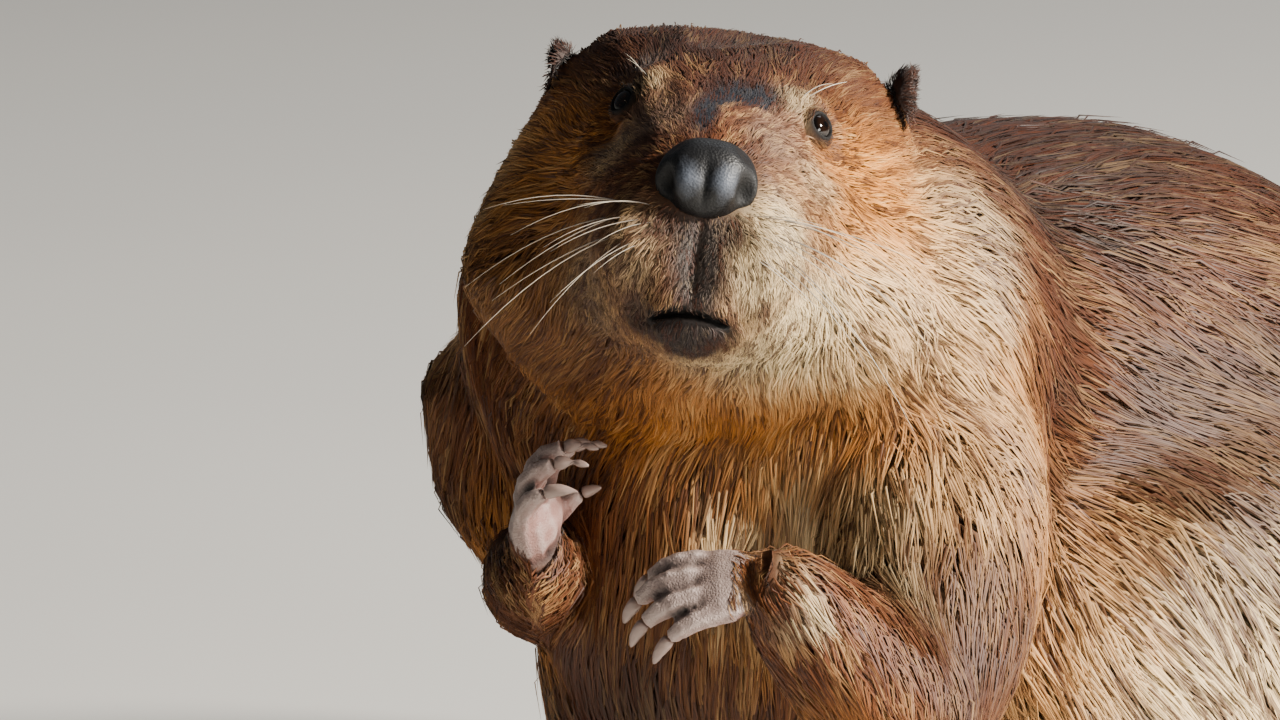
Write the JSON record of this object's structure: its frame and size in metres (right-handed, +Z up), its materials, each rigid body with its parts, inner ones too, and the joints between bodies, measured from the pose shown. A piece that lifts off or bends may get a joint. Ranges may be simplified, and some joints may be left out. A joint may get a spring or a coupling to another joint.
{
  "type": "beaver",
  "caption": "Life-size beaver sitting back on its haunches, forepaws raised to the chest and head turned to its left, with a broad flat scaly tail.",
  "frame": {"origin": "on the floor, below the middle of the animal's bounding box", "axes": "+Z up; +Y towards the tail, along the animal's length; the animal's left side is +X and its body faces -Y"},
  "size_m": [0.3786, 0.804, 0.404],
  "materials": {
    "back_coat": "dense dark brown fur with coarse chestnut guard hair",
    "flank_coat": "dense golden brown fur, paler towards the tips",
    "foot_skin": "grey mauve skin under short thin hair",
    "claw_horn": "dark pinkish brown horn",
    "nose_skin": "moist black skin",
    "eye_gloss": "wet, near black",
    "tail_scales": "dark grey leathery skin in small scales"
  },
  "bodies": {
    "root": {"head": "back_coat", "lower_jaw": "flank_coat", "nose": "nose_skin", "eye_left": "eye_gloss", "ear_left": "back_coat", "eye_right": "eye_gloss", "ear_right": "back_coat", "trunk": "back_coat", "neck": "flank_coat", "tail_base": "back_coat", "tail": "tail_scales", "upper_arm_left": "back_coat", "forearm_left": "flank_coat", "thigh_left": "flank_coat", "shank_left": "back_coat", "forepaw_left": "foot_skin", "forepaw_left_claw_1": "claw_horn", "forepaw_left_claw_2": "claw_horn", "forepaw_left_claw_3": "claw_horn", "forepaw_left_claw_4": "claw_horn", "forepaw_left_claw_5": "claw_horn", "hind_foot_left": "foot_skin", "hind_foot_left_claw_1": "claw_horn", "hind_foot_left_claw_2": "claw_horn", "hind_foot_left_claw_3": "claw_horn", "hind_foot_left_claw_4": "claw_horn", "hind_foot_left_claw_5": "claw_horn", "upper_arm_right": "back_coat", "forearm_right": "flank_coat", "thigh_right": "flank_coat", "shank_right": "back_coat", "forepaw_right": "foot_skin", "forepaw_right_claw_1": "claw_horn", "forepaw_right_claw_2": "claw_horn", "forepaw_right_claw_3": "claw_horn", "forepaw_right_claw_4": "claw_horn", "forepaw_right_claw_5": "claw_horn", "hind_foot_right": "foot_skin", "hind_foot_right_claw_1": "claw_horn", "hind_foot_right_claw_2": "claw_horn", "hind_foot_right_claw_3": "claw_horn", "hind_foot_right_claw_4": "claw_horn", "hind_foot_right_claw_5": "claw_horn"}
  },
  "joints": []
}
